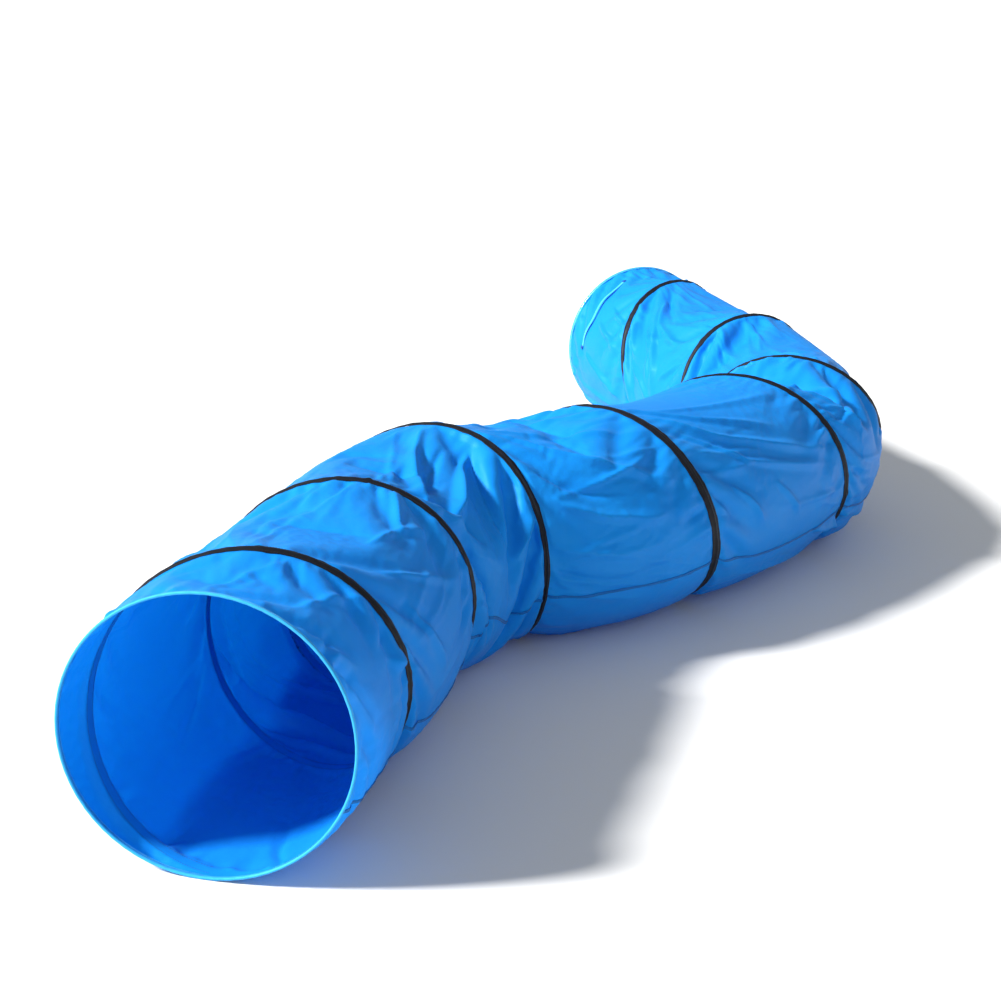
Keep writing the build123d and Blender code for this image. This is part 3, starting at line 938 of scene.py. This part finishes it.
# ------------------------------------------------------------------------------------------------
# The tape over the wire, and the wire
# ------------------------------------------------------------------------------------------------
TAPE_TOP = [(-15.2, 1.3), (-14.6, 1.9), (-12.6, 2.0), (-9.5, 2.1), (-6.4, 2.5), (-4.2, 3.4), (-2.2, 4.75),
            (-0.9, 5.25), (0.0, 5.4)]
TAPE_TOP = np.array(TAPE_TOP + [(-x, h) for x, h in TAPE_TOP[-2::-1]]) / 1000
TAPE_UNDER = [(-15.0, 0.6), (-11.0, 0.75), (-6.0, 0.95), (-3.4, 1.9), (-1.9, 3.2), (0.0, 4.2)]
TAPE_UNDER = np.array(TAPE_UNDER + [(-x, h) for x, h in TAPE_UNDER[-2::-1]]) / 1000


def swept(profile, per_turn, t_from, t_to, lift_wave):
    """A closed profile of (offset, height) carried along the wire's line over the cloth."""
    n = int(round((t_to - t_from) * per_turn)) + 1
    t = np.linspace(t_from, t_to, n)
    a = 2 * math.pi * (t + PHASE)
    wire = coil_along(t)
    x = profile[:, 0][None, :]
    h = profile[:, 1][None, :]
    u = (t * 2 * math.pi * CLOTH_R)[:, None]
    wob = 0.0005 * np.sin(u / 0.021 + 3 * np.sin(u / 0.13)) + 0.0004 * np.sin(u / 0.047 + 1.0)
    # the tape's edges wander a little, and it is crumpled where it goes over the wire
    wider = 1 + lift_wave * (0.05 * np.sin(u / 0.031 + 2 * np.sin(u / 0.21)) + 0.04 * np.sin(u / 0.0143 + 1.1))
    S = wire[:, None] + x * wider + (wob if lift_wave else 0)
    A = np.broadcast_to(a[:, None], S.shape)
    S2 = np.clip(S, 0.0142, TOTAL - 0.0142)
    side = np.sign(x)
    edge = np.clip(np.abs(x) / 0.015, 0, 1) ** 2
    ripple = lift_wave * edge * np.maximum(
        0.00055 * np.sin(u / 0.0058 + side * 1.7 + 2.2 * np.sin(u / 0.09))
        + 0.0004 * np.sin(u / 0.0101 + side * 2.0), -0.00015)
    crown = lift_wave * (1 - edge) * np.where(h > 0.002, 1.0, 0.0) * (
        0.00030 * np.sin(u / 0.0048 + 2 * np.sin(u / 0.06) + 160 * x) + 0.00034 * np.sin(u / 0.0131 - 230 * x)
        + 0.00030)
    p = cloth_surface(S2, A, h + ripple + crown)
    m = profile.shape[0]
    verts = p.reshape(-1, 3)
    i, j = np.meshgrid(np.arange(n - 1), np.arange(m), indexing="ij")
    j2 = (j + 1) % m
    faces = np.stack([i * m + j, (i + 1) * m + j, (i + 1) * m + j2, i * m + j2], -1).reshape(-1, 4)
    uv = np.stack([np.broadcast_to(u, S.shape).ravel(), np.broadcast_to(x + 3 * h, S.shape).ravel()], 1)
    return verts, faces, S2.ravel(), uv, t, m


def split_closed(name, verts, faces, along, uv, m, mat, nodes=None):
    """Cuts a closed swept piece square across at the stations and closes each cut, one length for each turn.
    Neighbours share their cut's points."""
    rings = along.reshape(-1, m)
    last = len(rings) - 1
    ring_faces = faces.reshape(last, m, 4)
    made = []
    for k in range(1, TURNS + 1):
        before = np.nonzero(rings.max(1) < ALONG[k - 1] - 0.001)[0]
        after = np.nonzero(rings.min(1) > ALONG[k] + 0.001)[0]
        r0 = int(before.max()) if len(before) else 0
        r1 = int(after.min()) if len(after) else last
        own = ring_faces[r0:r1].reshape(-1, 4) - r0 * m
        v = verts[r0 * m:(r1 + 1) * m]
        bm = bmesh.new()
        bv = [bm.verts.new(p) for p in v]
        layer = bm.loops.layers.uv.new("ClothUV")
        u = uv[r0 * m:(r1 + 1) * m]
        for f in own:
            face = bm.faces.new([bv[i] for i in f])
            face.smooth = True
            for loop, i in zip(face.loops, f):
                loop[layer].uv = u[i]
        for ids in (list(range(m)), list(range(len(v) - m, len(v)))[::-1]):
            face = bm.faces.new([bv[i] for i in ids])
            for loop, i in zip(face.loops, ids):
                loop[layer].uv = u[i]
            for edge in face.edges:
                edge.smooth = False
        for i, way in ((k - 1, -1), (k, 1)):
            if i in (0, TURNS):
                continue
            x, y, h = STATIONS[i]
            cut = bmesh.ops.bisect_plane(
                bm, geom=bm.verts[:] + bm.edges[:] + bm.faces[:], dist=1e-7, plane_co=(x, y, AXIS_Z),
                plane_no=(way * math.cos(h), way * math.sin(h), 0), clear_outer=True)
            rim = [e for e in cut["geom_cut"] if isinstance(e, bmesh.types.BMEdge)]
            for edge in rim:
                edge.smooth = False
            bmesh.ops.edgeloop_fill(bm, edges=rim)
        bmesh.ops.recalc_face_normals(bm, faces=bm.faces[:])
        mesh = bpy.data.meshes.new(f"{name}_{k}")
        bm.to_mesh(mesh)
        bm.free()
        mesh.materials.append(mat)
        obj = bpy.data.objects.new(f"{name}_{k}", mesh)
        bpy.context.scene.collection.objects.link(obj)
        blend_turn(obj, k)
        if nodes:
            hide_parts(f"{nodes}_{k}")
        made.append(obj)
    return made


profile = np.concatenate([TAPE_TOP, TAPE_UNDER[::-1]])
_tt = np.linspace(0, TURNS, 4001)
_ss = coil_along(_tt)
TAPE_FROM = float(np.interp(0.0305, _ss, _tt))
TAPE_TO = float(np.interp(TOTAL - 0.0305, _ss, _tt))
_v, _f2, _s, _uv, _t, _m = swept(profile, 420, TAPE_FROM, TAPE_TO, 1.0)
TAPE_PIECES = split_closed("casing_tape", _v, _f2, _s, _uv, _m, TAPE, "wire_casing")

ring = np.array([(0.0014 * math.cos(a), 0.0026 + 0.0014 * math.sin(a)) for a in np.linspace(0, 2 * math.pi, 13)[:-1]])
_v, _f2, _s, _uv, _t, _m = swept(ring, 240, float(np.interp(0.0158, _ss, _tt)),
                                 float(np.interp(TOTAL - 0.0158, _ss, _tt)), 0.0)
WIRE_PIECES = split_closed("spring_wire", _v, _f2, _s, _uv, _m, STEEL, "coil_wire")

# ------------------------------------------------------------------------------------------------
# Hems, stitches, seam, strap
# ------------------------------------------------------------------------------------------------
HEM_OUT = [(0.2, 301.2), (1.2, 302.5), (3.2, 303.0), (5.2, 302.4), (7.0, 301.2), (9.0, 300.6), (11.4, 300.3),
           (13.2, 300.0), (13.9, 299.5)]
HEM_IN = [(13.9, 298.7), (12.6, 298.0), (9.6, 297.6), (7.2, 297.4), (5.2, 297.0), (3.2, 296.6), (1.3, 297.1),
          (0.2, 298.4), (-0.1, 299.8)]
HEM_RING = np.array(HEM_OUT + HEM_IN) / 1000
ROUND_HEM = 640


def hem_wave(a, x, seed):
    """The crinkling of the rolled edge: strongest along its stitching."""
    r = np.random.RandomState(seed)
    out = 0
    for _ in range(7):
        n = r.randint(40, 170)
        out = out + np.sin(n * a + r.uniform(0, 6.28) + r.uniform(-220, 220) * x + 1.5 * np.sin(5 * a + r.uniform(0, 6)))
    amp = 0.55 + 0.45 * np.sin(2 * a + r.uniform(0, 6)) * np.sin(5 * a + r.uniform(0, 6))
    edge = 0.35 + 0.65 * np.clip(x / 0.012, 0, 1)
    return 0.00017 * out * amp * edge


def build_hem(name, mouth, seed, body, replaced):
    a = 2 * math.pi * np.arange(ROUND_HEM) / ROUND_HEM
    x = HEM_RING[:, 0]
    r = HEM_RING[:, 1]
    A, Xg = np.meshgrid(a, x, indexing="ij")
    _, Rg = np.meshgrid(a, r, indexing="ij")
    wave = hem_wave(A, Xg, seed)
    outside = np.where(Rg > 0.2990, 1.0, 0.55)
    Rg = Rg + wave * outside
    Xg = Xg + 0.0004 * np.sin(31 * A + seed) * np.clip(Xg / 0.012, 0, 1) + 0.0003 * np.sin(67 * A + 2 * seed)
    Xg = np.clip(Xg, -0.0002, 0.0146)
    S = Xg if mouth == "near" else TOTAL - Xg
    # the hem is flat: it stands square to the tube where its stitching is
    s0 = HEM_W if mouth == "near" else TOTAL - HEM_W
    x0, y0, h0 = centre(np.array([s0]))
    d = S - s0
    px = x0 + d * np.cos(h0) - Rg * np.sin(A) * np.sin(h0)
    py = y0 + d * np.sin(h0) + Rg * np.sin(A) * np.cos(h0)
    pz = np.maximum(AXIS_Z - Rg * np.cos(A), 0.0)
    verts = np.stack([px, py, pz], -1).reshape(-1, 3)
    m = len(x)
    i, j = np.meshgrid(np.arange(ROUND_HEM), np.arange(m), indexing="ij")
    i2, j2 = (i + 1) % ROUND_HEM, (j + 1) % m
    quad = [i * m + j, i * m + j2, i2 * m + j2, i2 * m + j]
    if mouth == "near":
        quad = quad[::-1]
    faces = np.stack(quad, -1).reshape(-1, 4)
    uv = np.stack([(A * 0.3).ravel(), (Xg + Rg).ravel()], 1)
    obj = new_mesh(name, verts, faces, uv, None, HEM)
    bm = bmesh.new()
    bm.from_mesh(obj.data)
    bmesh.ops.recalc_face_normals(bm, faces=bm.faces[:])
    bm.to_mesh(obj.data)
    bm.free()
    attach(obj, body)
    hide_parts(replaced)
    return obj


def capsule_rows(name, ends_a, ends_b, out, width, high, mat, bury=0.0002):
    """Many short stitches in one mesh: each a rounded bar from one point to the other, standing a
    little off the cloth in the middle and going into it at its ends."""
    n = len(ends_a)
    along_v = ends_b - ends_a
    length = np.linalg.norm(along_v, axis=1, keepdims=True) + 1e-9
    along_u = along_v / length
    side = np.cross(along_u, out)
    side /= np.linalg.norm(side, axis=1, keepdims=True) + 1e-9
    up = np.cross(side, along_u)
    rings = []
    for f, k in ((0.10, 0.75), (0.5, 1.0), (0.90, 0.75)):
        c = ends_a + along_v * f + up * (high * (0.25 if f != 0.5 else 0.55))
        for ang in (45, 135, 225, 315):
            ca, sa = math.cos(math.radians(ang)), math.sin(math.radians(ang))
            rings.append(c + side * (width * 0.5 * 1.2 * k * ca) + up * (high * 0.5 * 1.2 * k * sa))
    tip0, tip1 = ends_a - up * bury, ends_b - up * bury
    verts = np.stack(rings + [tip0, tip1], 1)           # n x 14 x 3
    quads, tris = [], []
    for r in range(2):
        for c in range(4):
            quads.append([r * 4 + c, r * 4 + (c + 1) % 4, (r + 1) * 4 + (c + 1) % 4, (r + 1) * 4 + c])
    for c in range(4):
        tris.append([12, (c + 1) % 4, c])
        tris.append([13, 8 + c, 8 + (c + 1) % 4])
    base = (np.arange(n) * 14)[:, None, None]
    q = (np.array(quads)[None] + base).reshape(-1, 4)
    t = (np.array(tris)[None] + base).reshape(-1, 3)
    mesh = bpy.data.meshes.new(name)
    v = verts.reshape(-1, 3)
    mesh.vertices.add(len(v))
    mesh.vertices.foreach_set("co", v.astype(np.float32).ravel())
    loops = np.concatenate([q.ravel(), t.ravel()]).astype(np.int32)
    mesh.loops.add(len(loops))
    mesh.loops.foreach_set("vertex_index", loops)
    mesh.polygons.add(len(q) + len(t))
    starts = np.concatenate([np.arange(len(q)) * 4, len(q) * 4 + np.arange(len(t)) * 3]).astype(np.int32)
    mesh.polygons.foreach_set("loop_start", starts)
    mesh.polygons.foreach_set("use_smooth", np.ones(len(q) + len(t), bool))
    mesh.update(calc_edges=True)
    mesh.validate()
    # outward faces
    a, b, c = v[q[0, 0]], v[q[0, 1]], v[q[0, 2]]
    middle = v[:14].mean(0)
    if np.dot(np.cross(b - a, c - b), a - middle) < 0:
        mesh.flip_normals()
    mesh.materials.append(mat)
    obj = bpy.data.objects.new(name, mesh)
    bpy.context.scene.collection.objects.link(obj)
    return obj


def outward(s, a):
    return out_dir(np.asarray(s, float), np.asarray(a, float))


def rows_of_stitches(name, t_from, t_to, offset, height, step, size, width, high, mat, inner):
    """Stitches along the tape, one object for each turn."""
    made = []
    count = int((t_to - t_from) * 2 * math.pi * CLOTH_R / step)
    t = t_from + (np.arange(count) + 0.5) / count * (t_to - t_from)
    mids = np.tile(t, len(offset))
    off = np.repeat(offset, count)
    at = np.clip(coil_along(mids) + off, 0.0142, TOTAL - 0.0142)
    dt = size / (2 * math.pi * CLOTH_R) / 2
    for k in range(1, TURNS + 1):
        own = (at >= ALONG[k - 1]) & (at < ALONG[k])
        ends = []
        for side in (-1, 1):
            tt = mids[own] + side * dt
            s = np.clip(coil_along(tt) + off[own], 0.0142, TOTAL - 0.0142)
            ends.append(cloth_surface(s, 2 * math.pi * (tt + PHASE), height))
        o = outward(at[own], 2 * math.pi * (mids[own] + PHASE)) * (-1 if inner else 1)
        obj = capsule_rows(f"{name}_{k}", ends[0], ends[1], o, width, high, mat)
        blend_turn(obj, k)
        made.append(obj)
    return made


def hem_stitches(name, mouth, body):
    n = 440
    a = 2 * math.pi * (np.arange(n) + 0.5) / n
    da = 0.0031 / 0.300 / 2
    s0 = HEM_W if mouth == "near" else TOTAL - HEM_W
    x0, y0, h0 = centre(np.array([s0]))
    parts = []
    for radius, sign in ((0.30035, 1), (0.29785, -1)):
        ends = []
        for side in (-1, 1):
            d = (0.0118 - HEM_W) * (1 if mouth == "near" else -1)
            ang = a + side * da
            ends.append(np.stack([
                x0 + d * np.cos(h0) - radius * np.sin(ang) * np.sin(h0),
                y0 + d * np.sin(h0) + radius * np.sin(ang) * np.cos(h0),
                AXIS_Z - radius * np.cos(ang)], -1))
        o = outward(np.full(n, s0), a) * sign
        parts.append((ends[0], ends[1], o))
    A, B, O = (np.concatenate([p[i] for p in parts]) for i in range(3))
    obj = capsule_rows(name, A, B, O, 0.0007, 0.0007, PALE_THREAD)
    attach(obj, body)
    return obj


NEAR_HEM = build_hem("near_hem_roll", "near", 3, "near_mouth", "near_hem")
FAR_HEM = build_hem("far_hem_roll", "far", 8, "far_mouth", "far_hem")
HEM_STITCHES = [hem_stitches("near_hem_stitches", "near", "near_mouth"),
                hem_stitches("far_hem_stitches", "far", "far_mouth")]

T_FROM, T_TO = TAPE_FROM + 0.002, TAPE_TO - 0.002
TAPE_STITCHES = rows_of_stitches("tape_stitches", T_FROM, T_TO, (-0.0126, 0.0126), 0.0021, 0.0058, 0.0042,
                                 0.0008, 0.0007, BLACK_THREAD, False)
INNER_STITCHES = rows_of_stitches("inner_stitches", T_FROM, T_TO, (-0.0126, 0.0126), -0.0006, 0.0058, 0.0042,
                                  0.0008, 0.0007, THREAD, True)


def ribbon(name, centre_pts, out, width, thick, mat, edges=True):
    """A flat ribbon along points, square to their outward directions, as a closed mesh."""
    P = np.asarray(centre_pts)
    tan = np.gradient(P, axis=0)
    tan /= np.linalg.norm(tan, axis=1, keepdims=True)
    side = np.cross(tan, out)
    side /= np.linalg.norm(side, axis=1, keepdims=True)
    up = np.cross(side, tan)
    w, h = width / 2, thick / 2
    prof = [(-w, 0), (-w * 0.97, h * 0.8), (-w * 0.85, h * 1.25), (-w * 0.7, h * 0.85), (-w * 0.3, h), (0, h * 1.05),
            (w * 0.3, h), (w * 0.7, h * 0.85), (w * 0.85, h * 1.25), (w * 0.97, h * 0.8), (w, 0)]
    prof = prof + [(-x, -y) for x, y in prof[1:-1]]
    n, m = len(P), len(prof)
    verts = np.stack([P + side * x + up * y for x, y in prof], 1).reshape(-1, 3)
    bm = bmesh.new()
    bv = [bm.verts.new(v) for v in verts]
    layer = bm.loops.layers.uv.new("ClothUV")
    run = np.concatenate([[0], np.cumsum(np.linalg.norm(np.diff(P, axis=0), axis=1))])
    for i in range(n - 1):
        for j in range(m):
            j2 = (j + 1) % m
            f = bm.faces.new([bv[i * m + j], bv[i * m + j2], bv[(i + 1) * m + j2], bv[(i + 1) * m + j]])
            f.smooth = True
            for loop, (ii, jj) in zip(f.loops, ((i, j), (i, j2), (i + 1, j2), (i + 1, j))):
                loop[layer].uv = (run[ii], prof[jj][0])
    bm.faces.new([bv[j] for j in range(m)])
    bm.faces.new([bv[(n - 1) * m + j] for j in range(m)][::-1])
    bmesh.ops.recalc_face_normals(bm, faces=bm.faces[:])
    mesh = bpy.data.meshes.new(name)
    bm.to_mesh(mesh)
    bm.free()
    mesh.materials.append(mat)
    obj = bpy.data.objects.new(name, mesh)
    bpy.context.scene.collection.objects.link(obj)
    return obj


def spline(points, n):
    """A smooth line through points, with its spacing even in the points' own count."""
    P = np.asarray(points, float)
    B = np.concatenate([2 * P[:1] - P[1:2], P, 2 * P[-1:] - P[-2:-1]])
    t = np.linspace(0, len(P) - 1, n)
    i = np.minimum(t.astype(int), len(P) - 2)
    f = (t - i)[:, None]
    p0, p1, p2, p3 = B[i], B[i + 1], B[i + 2], B[i + 3]
    return 0.5 * (2 * p1 + (p2 - p0) * f + (2 * p0 - 5 * p1 + 4 * p2 - p3) * f * f + (3 * p1 - p0 - 3 * p2 + p3) * f ** 3)


def seam_angle(s):
    return np.radians(292 - 15 * np.exp(-((s - 1.13) / 0.17) ** 2) + 2.2 * np.sin(s * 2.1) + 1.2 * np.sin(s * 5.3 + 1))


# the seam is a darker blue than the cloth: painted shade, for the shadow that lies along the seam's fold
SEAM_PAINTED_SHADE = cloth_material("felled_seam_painted_shade", (0.003, 0.115, 0.44), (0.006, 0.17, 0.56), 0.45, 0.0)
SEAM_PIECES = []
for _k in range(1, TURNS + 1):
    _a = 0.015 if _k == 1 else ALONG[_k - 1]
    _b = TOTAL - 0.015 if _k == TURNS else ALONG[_k]
    _s = np.linspace(_a, _b, int((_b - _a) / 0.004) + 1)
    _p = cloth_surface(_s, seam_angle(_s), 0.0009)
    _o = outward(_s, seam_angle(_s))
    _obj = ribbon(f"lengthwise_seam_{_k}", _p, _o, 0.0085, 0.0016, SEAM_PAINTED_SHADE)
    blend_turn(_obj, _k)
    SEAM_PIECES.append(_obj)
    _n = int((_b - _a) / 0.0055)
    _mid = _a + (np.arange(_n) + 0.5) * (_b - _a) / _n
    _A, _B, _O = [], [], []
    for _off in (-0.0028, 0.0028):
        _e = [cloth_surface(_mid + d, seam_angle(_mid + d) + _off / CLOTH_R, 0.0017) for d in (-0.002, 0.002)]
        _A.append(_e[0])
        _B.append(_e[1])
        _O.append(outward(_mid, seam_angle(_mid)))
    _obj = capsule_rows(f"seam_stitches_{_k}", np.concatenate(_A), np.concatenate(_B), np.concatenate(_O),
                        0.0008, 0.0007, THREAD)
    blend_turn(_obj, _k)
    SEAM_PIECES.append(_obj)

# the strap beside the far mouth, sewn down at both ends and loose between
STRAP_PATH = spline([(4.540, 156, 1.3), (4.533, 153, 1.8), (4.520, 148, 4.5), (4.500, 139, 8.0), (4.486, 128, 9.5),
                     (4.475, 117, 8.5), (4.477, 108, 6.0), (4.487, 100, 3.2), (4.493, 96, 1.8), (4.497, 93, 1.3)], 90)
_s, _a = STRAP_PATH[:, 0], np.radians(STRAP_PATH[:, 1])
_p = cloth_surface(_s, _a, STRAP_PATH[:, 2] / 1000)
for _i in range(3):
    _p[1:-1] = (_p[:-2] + 2 * _p[1:-1] + _p[2:]) / 4
STRAP_PIECE = ribbon("carry_strap_ribbon", _p, outward(_s, _a), 0.0115, 0.0012, STRAP)
_m = len(STRAP_PIECE.data.vertices) // len(_s)
blend_share(STRAP_PIECE, np.repeat(where_along(_p, TURNS), _m))
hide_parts("carry_strap")
TACKS = []
for _name, _at, _node in (("upper_bar_tack", 0, "strap_tack_upper"), ("lower_bar_tack", -1, "strap_tack_lower")):
    _c = _p[_at]
    _t = (_p[4] - _p[0]) if _at == 0 else (_p[-1] - _p[-5])
    _t /= np.linalg.norm(_t)
    _o = outward(_s[[_at]], _a[[_at]])[0]
    _sd = np.cross(_t, _o)
    _sd /= np.linalg.norm(_sd)
    _u = np.cross(_sd, _t)
    _start = _c + _t * (0.001 if _at == 0 else -0.012)
    _A, _B, _O = [], [], []
    for _i in range(17):
        _x = 0.0008 * _i
        _flip = 1 if _i % 2 else -1
        _A.append(_start + _t * _x - _sd * 0.0074 * _flip + _u * 0.0010)
        _B.append(_start + _t * (_x + 0.0008) + _sd * 0.0074 * _flip + _u * 0.0010)
        _O.append(_u)
    for _z in (-0.0060, -0.0036, -0.0012, 0.0012, 0.0036, 0.0060):
        _A.append(_start - _t * 0.0005 + _sd * _z + _u * 0.0016)
        _B.append(_start + _t * 0.0140 + _sd * _z + _u * 0.0016)
        _O.append(_u)
    _obj = capsule_rows(_name + "_threads", np.array(_A), np.array(_B), np.array(_O), 0.0013, 0.0014, TACK_THREAD, 0.0014)
    blend_share(_obj, np.full(len(_obj.data.vertices), where_along(_p[[_at]], TURNS)[0]))
    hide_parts(_node)
    TACKS.append(_obj)

# the steel inside the hems keeps its own shape
for _n, _mat in (("near_end_ring", STEEL), ("far_end_ring", STEEL), ("near_crimp_sleeve", ZINC), ("far_crimp_sleeve", ZINC)):
    _o = bpy.data.objects.get(_n)
    if _o is not None:
        _o.data.materials.clear()
        _o.data.materials.append(_mat)

# each turn's cloth, and what is sewn to it
for _k in range(1, TURNS + 1):
    _with = [TAPE_PIECES[_k - 1], SEAM_PIECES[2 * _k - 2]]
    if _k == 1:
        _with += [NEAR_HEM]
    if _k == TURNS:
        _with += [FAR_HEM, STRAP_PIECE] + TACKS

# ------------------------------------------------------------------------------------------------
# Floor and light
# ------------------------------------------------------------------------------------------------
_m, _nodes, _links = material("pale_floor")
_out = node(_nodes, "ShaderNodeOutputMaterial")
_b = node(_nodes, "ShaderNodeBsdfPrincipled")
_n = node(_nodes, "ShaderNodeTexNoise")
_n.inputs["Scale"].default_value = 3
_n.inputs["Detail"].default_value = 4
_x = node(_nodes, "ShaderNodeMixRGB")
_x.inputs["Color1"].default_value = (0.80, 0.80, 0.80, 1)
_x.inputs["Color2"].default_value = (0.84, 0.84, 0.83, 1)
_links.new(_n.outputs["Fac"], _x.inputs["Fac"])
_links.new(_x.outputs["Color"], _b.inputs["Base Color"])
_b.inputs["Roughness"].default_value = 0.9
_links.new(_b.outputs["BSDF"], _out.inputs["Surface"])
_mesh = bpy.data.meshes.new("floor")
_mesh.from_pydata([(-600, -600, -0.0006), (600, -600, -0.0006), (600, 600, -0.0006), (-600, 600, -0.0006)], [], [(0, 1, 2, 3)])
_mesh.materials.append(_m)
FLOOR = bpy.data.objects.new("floor", _mesh)
bpy.context.scene.collection.objects.link(FLOOR)

world = bpy.data.worlds.new("sky")
bpy.context.scene.world = world
world.use_nodes = True
world.node_tree.nodes["Background"].inputs["Color"].default_value = (0.92, 0.96, 1.0, 1)
world.node_tree.nodes["Background"].inputs["Strength"].default_value = 0.37


def sun(name, towards, strength, spread, colour):
    data = bpy.data.lights.new(name, "SUN")
    data.angle = spread
    data.energy = strength
    data.color = colour
    obj = bpy.data.objects.new(name, data)
    obj.rotation_mode = "QUATERNION"
    obj.rotation_quaternion = (-Vector(towards)).to_track_quat("-Z", "Y")
    bpy.context.scene.collection.objects.link(obj)
    return obj


# one large soft light, high on the left, and a weak one from the right
sun("key", (-0.46, 0.69, 0.60), 7.6, 0.16, (1.0, 0.985, 0.96))
sun("fill", (-0.8, -0.6, 0.5), 0.30, 0.9, (0.93, 0.97, 1.0))

bpy.context.scene.view_settings.view_transform = "Standard"
